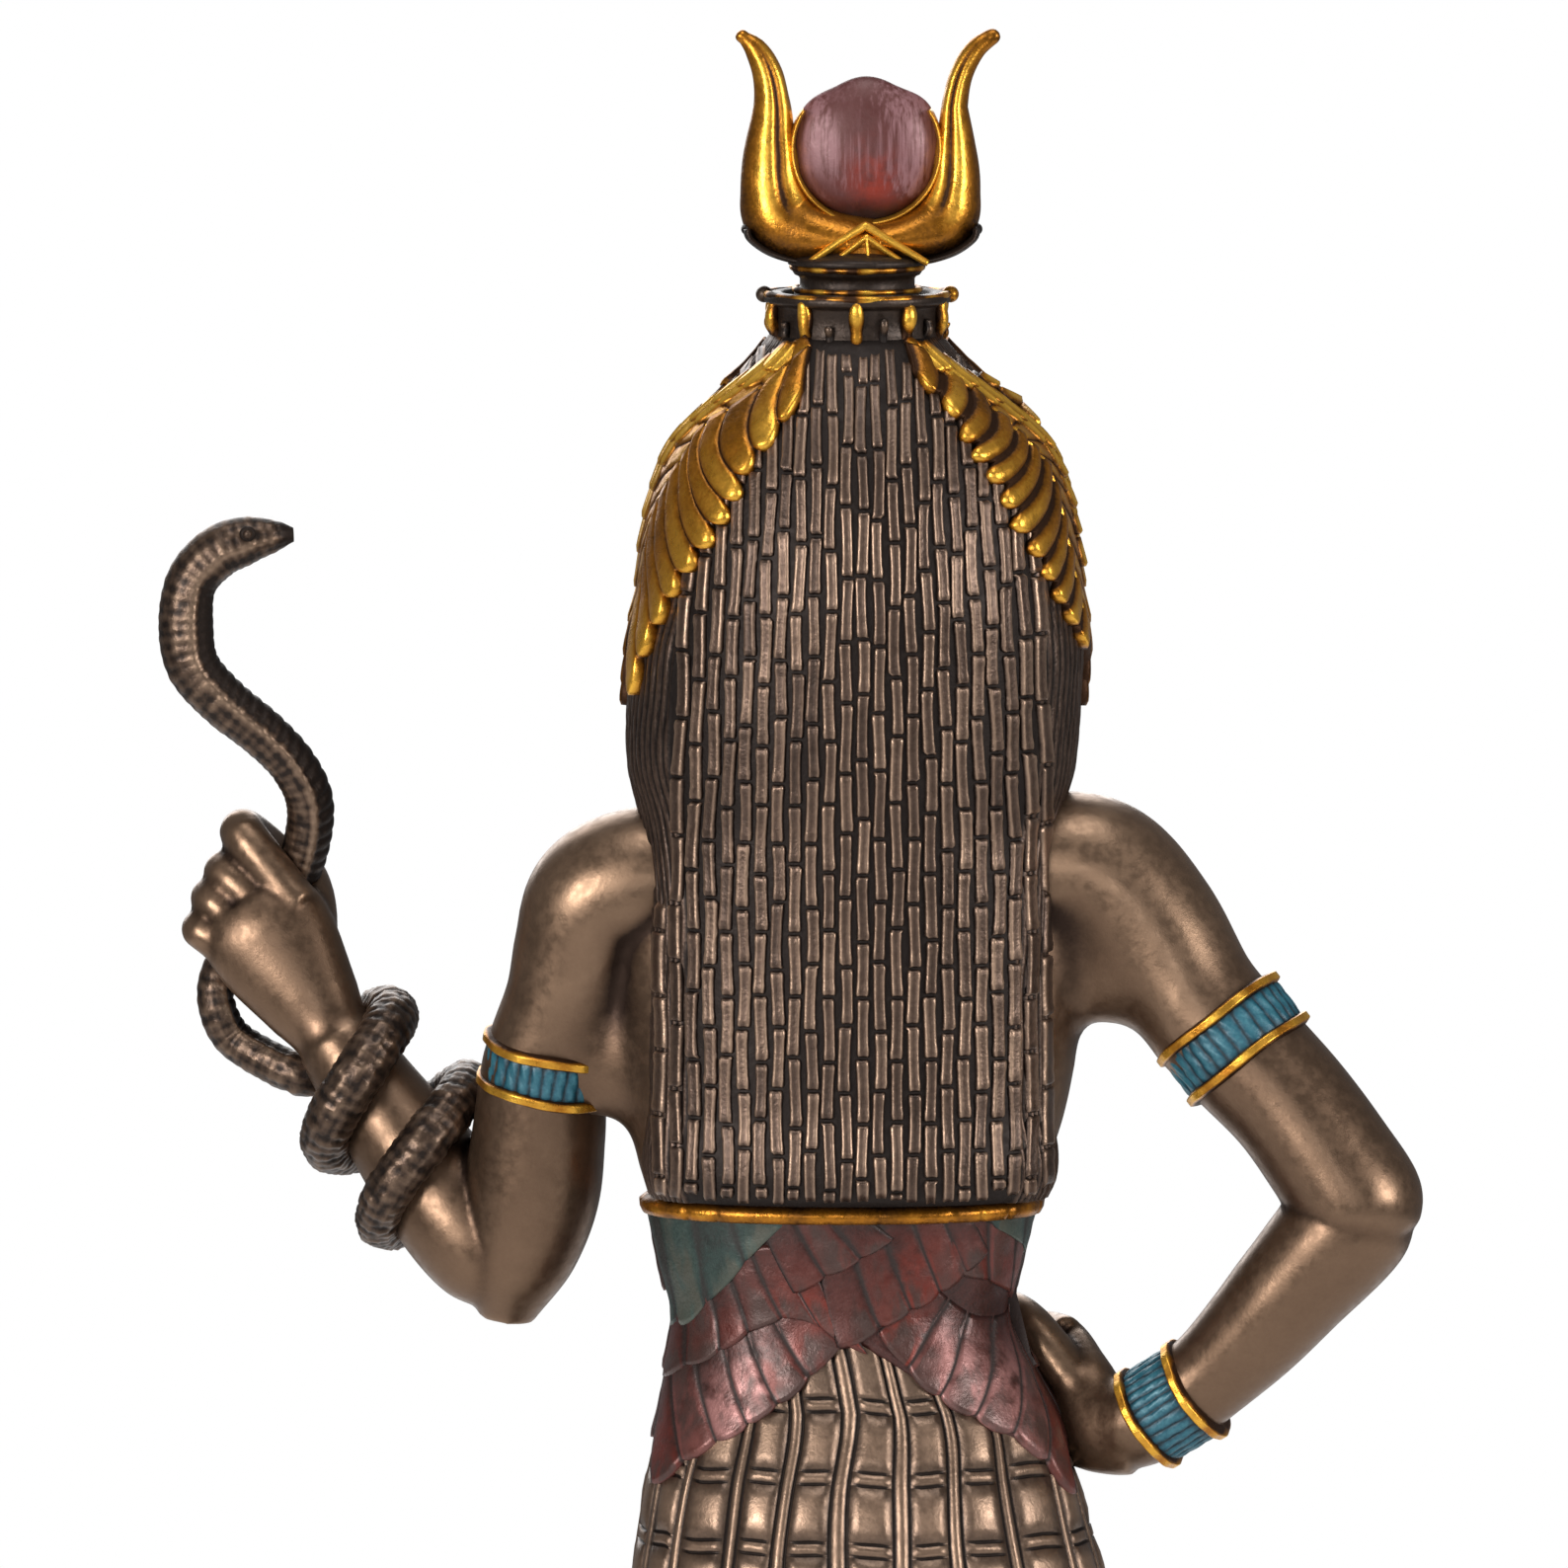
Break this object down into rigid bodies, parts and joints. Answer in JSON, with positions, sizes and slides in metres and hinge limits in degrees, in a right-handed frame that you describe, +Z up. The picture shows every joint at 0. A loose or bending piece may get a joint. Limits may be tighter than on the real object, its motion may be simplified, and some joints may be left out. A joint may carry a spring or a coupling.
{
  "type": "hathor statue",
  "caption": "Small cast resin statue of the goddess Hathor with horned sun disc, long wig, net dress and a snake in the raised hand.",
  "frame": {"origin": "centre of the underside of the base", "axes": "+Z up along the statue's height; the figure faces -Y; its left side is +X"},
  "size_m": [0.1286, 0.072, 0.2936],
  "materials": {
    "bronze": "cold-cast bronze resin, satin, darker in the recesses and rubbed light on the high places",
    "dark_bronze": "cold-cast bronze resin, dark antique wash",
    "gold_paint": "metallic gold paint over bronze resin, brown in the recesses",
    "teal_paint": "satin teal paint, slightly worn",
    "red_paint": "satin red-brown paint, dry-brushed with pink"
  },
  "bodies": {
    "root": {"figure": "bronze", "base": "dark_bronze"}
  },
  "joints": []
}
